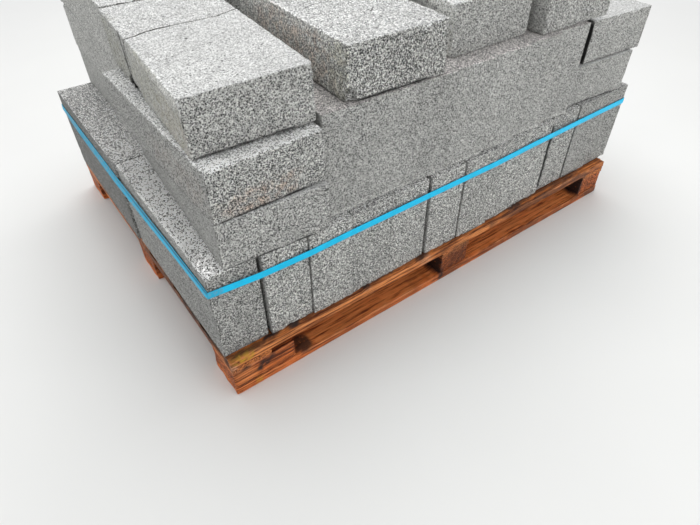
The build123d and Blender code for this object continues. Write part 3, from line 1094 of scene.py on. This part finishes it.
# How far the strap leans out at its lower edge along the left side, from front to back.
STRAP_LEAN_AT = [-470, -440, -180, 0, 110, 300, 470]
STRAP_LEAN = [0, 12, 20, 26, 27, 20, 0]
STRAP_CREASED = [0, 1.0, 1.0, 0.4, 0.1, 0, 0]
# Where the crease lies and how wide it is, as shares of the strap's width, and its depth. The
# crease is also painted dark, as its shade.
CREASE_AT = 0.29
CREASE_WIDTH = 0.2
CREASE_DEPTH = 0.9 * MM
# How far the strap rises above its place, along the front and along the left side.
FRONT_RISE_AT = [-600, -500, -400, -300, 250, 330, 450, 600]
FRONT_RISE = [7, 3, 3.5, 5.5, 5.5, 4, 2.5, 0]
LEFT_RISE_AT = [-470, -430, -300, -180, -80, 110, 440]
LEFT_RISE = [7, 10, 9, 5.5, 4.5, 4, 0]
# How much lower the tape is than its box, which leaves room for its sway.
STRAP_CREST = 0.8 * MM
# How dull the strap is along the left side, from front to back, and on the back. This also
# turns it teal, which along the left side is painted shade.
DULL_LEFT_AT = [-300, 200]
DULL_AND_SHADED_LEFT = [0.55, 1.0]
DULL_BACK = 0.7
BACK_FROM = 400 * MM
LEFT_WIDTH = 30 * MM


def make_strap(material):
    """Tape round the load. Along the left side it hangs a little open at the bottom."""
    low, high = (np.array(c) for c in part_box("strap"))
    corners = strap_path()
    places = []
    for a, b in zip(corners, np.roll(corners, -1, axis=0)):
        count = max(1, round(np.linalg.norm(b - a) / STRAP_STEP))
        for i in range(count):
            places.append(a + (b - a) * i / count)
    ring = np.array(places)
    ahead = np.roll(ring, -1, axis=0) - np.roll(ring, 1, axis=0)
    ahead /= np.linalg.norm(ahead, axis=1)[:, None]
    out = np.column_stack([ahead[:, 1], -ahead[:, 0], np.zeros(len(ring))])
    on_left = out[:, 0] < -0.9
    lean = np.radians(np.interp(ring[:, 1] / MM, STRAP_LEAN_AT, STRAP_LEAN)) * on_left
    up = np.array([0.0, 0.0, 1.0])
    down = out * np.sin(lean)[:, None] - up * np.cos(lean)[:, None]
    normal = out * np.cos(lean)[:, None] + up * np.sin(lean)[:, None]
    width = high[2] - low[2] - STRAP_CREST
    run = np.arange(len(ring)) * STRAP_STEP
    sway = noise(np.stack([run, run * 0, run * 0], axis=1), 220 * MM, 4.0) * 0.3 * MM
    rise = np.interp(ring[:, 1] / MM, LEFT_RISE_AT, LEFT_RISE) * on_left
    rise += np.interp(ring[:, 0] / MM, FRONT_RISE_AT, FRONT_RISE) * (ring[:, 1] < 0) * ~on_left
    top = np.column_stack([ring, high[2] - STRAP_CREST / 2 + sway + rise * MM])
    creased = np.interp(ring[:, 1] / MM, STRAP_LEAN_AT, STRAP_CREASED) * on_left
    sections = []
    crease_shades = []
    rows = [(share, True) for share in STRAP_SHARES]
    rows += [(share, False) for share in reversed(STRAP_SHARES)]
    for share, outside in rows:
        fold = creased * max(0.0, 1 - abs(share - CREASE_AT) / CREASE_WIDTH)
        proud = -STRAP_CROWN * (share * 2 - 1) ** 2 if outside else -STRAP_THICKNESS
        proud = proud - fold * CREASE_DEPTH
        sections.append(top + down * (width * share) + normal * proud[:, None])
        crease_shades.append(fold)
    points = np.stack(sections, axis=1).reshape(-1, 3)
    index = np.arange(len(points)).reshape(len(ring), len(rows))
    ahead = np.roll(index, -1, axis=0)
    quads = [np.roll(index, -1, axis=1), np.roll(ahead, -1, axis=1), ahead, index]
    quads = np.stack(quads, axis=-1).reshape(-1, 4)
    # How dull the strap is, which along the left side is also painted shade.
    dull_and_shaded = np.interp(points[:, 1] / MM, DULL_LEFT_AT, DULL_AND_SHADED_LEFT)
    dull_and_shaded = np.where(points[:, 0] < low[0] + LEFT_WIDTH, dull_and_shaded, 0.0)
    dull_and_shaded = np.where(points[:, 1] > BACK_FROM, DULL_BACK, dull_and_shaded)
    values = {"place": points, "dull_and_shaded": dull_and_shaded, "crease_shade": np.stack(crease_shades, axis=1).ravel()}
    make_piece("strap", points, quads, material, ["strap"], values)


# The floor, the light and the camera. The camera is where the photograph was taken from.
CAMERA_PLACE = (-0.78262838, -1.11840256, 0.96195704)
CAMERA_TURN = (0.8708502434, 0.3796508220, -0.1214037980, -0.2876564351)
CAMERA_LENS = 27.93994
CAMERA_SENSOR = 36.0
FLOOR_SIZE = 14.0
# The floor fades into the sky between these distances from the middle.
FLOOR_FADE = (1.7, 3.6)
FLOOR_COLOUR = rgb(0.80, 0.80, 0.785)
SKY_COLOUR = rgb(0.90, 0.905, 0.91)
AMBIENT_COLOUR = rgb(0.97, 0.985, 1.0)
AMBIENT_STRENGTH = 0.5
# Lamps as name, place, target, size and power.
LAMPS = [
    ("sky_light", (0.6, 0.9, 3.2), (0.0, 0.0, 0.3), 3.2, 95),
    ("front_light", (0.9, -3.0, 1.3), (0.0, 0.0, 0.2), 2.4, 30),
    ("left_light", (-3.4, 0.2, 1.9), (0.0, 0.0, 0.3), 2.4, 30),
]


def seen_rays(tree):
    """One for rays that show the surroundings: from the camera, mirrored or through glass."""
    rays = add_node(tree, "ShaderNodeLightPath", {}).outputs
    total = rays["Is Camera Ray"]
    for name in ("Is Glossy Ray", "Is Transmission Ray"):
        inputs = {0: total, 1: rays[name]}
        added = add_node(tree, "ShaderNodeMath", inputs, operation="ADD", use_clamp=True)
        total = added.outputs[0]
    return total


def build_floor():
    shader = Shader("floor", 0.9, 0.2)
    place = shader.add("ShaderNodeTexCoord", {}).outputs["Object"]
    patchy = shader.swing(place, 800 * MM, 0.985, 1.015)
    shader.link(shader.mix(1.0, FLOOR_COLOUR, shader.grey(patchy), "MULTIPLY"), "Base Color")
    away = shader.vector("LENGTH", place, None, "Value")
    fade = shader.span(away, *FLOOR_FADE, 0.0, 1.0, True)
    fade = shader.times(fade, seen_rays(shader.tree))
    glow = shader.add("ShaderNodeEmission", {"Color": SKY_COLOUR}).outputs[0]
    mixed = shader.add("ShaderNodeMixShader", {0: fade, 1: shader.surface.outputs[0], 2: glow})
    output = shader.tree.nodes["Material Output"]
    shader.tree.links.new(mixed.outputs[0], output.inputs["Surface"])
    half = FLOOR_SIZE / 2
    corners = [(-half, -half, 0), (half, -half, 0), (half, half, 0), (-half, half, 0)]
    mesh = bpy.data.meshes.new("floor")
    mesh.from_pydata(corners, [], [(0, 1, 2, 3)])
    mesh.materials.append(shader.material)
    floor = put("floor", mesh)


def build_camera():
    data = bpy.data.cameras.new("camera")
    data.lens = CAMERA_LENS
    data.sensor_width = CAMERA_SENSOR
    camera = put("camera", data)
    camera.rotation_mode = "QUATERNION"
    camera.location = CAMERA_PLACE
    camera.rotation_quaternion = Quaternion(CAMERA_TURN)
    SCENE.camera = camera


def lamp(name, place, target, size, power):
    data = bpy.data.lights.new(name, "AREA")
    data.shape = "SQUARE"
    data.size = size
    data.energy = power
    made = put(name, data)
    made.location = place
    aim = Vector(target) - Vector(place)
    made.rotation_euler = aim.to_track_quat("-Z", "Y").to_euler()


def build_light():
    world = SCENE.world or bpy.data.worlds.new("world")
    SCENE.world = world
    world.use_nodes = True
    tree = world.node_tree
    ambient = tree.nodes["Background"]
    ambient.inputs["Color"].default_value = AMBIENT_COLOUR
    ambient.inputs["Strength"].default_value = AMBIENT_STRENGTH
    seen = add_node(tree, "ShaderNodeBackground", {"Color": SKY_COLOUR})
    inputs = {0: seen_rays(tree), 1: ambient.outputs[0], 2: seen.outputs[0]}
    mixed = add_node(tree, "ShaderNodeMixShader", inputs)
    tree.links.new(mixed.outputs[0], tree.nodes["World Output"].inputs["Surface"])
    for row in LAMPS:
        lamp(*row)


SCENE.view_settings.view_transform = "Standard"
build_floor()
build_camera()
build_light()
build_blocks(concrete_material())
build_pallet()
make_strap(strap_material())
nodes["strap_seal"].data.materials.clear()
nodes["strap_seal"].data.materials.append(seal_material())
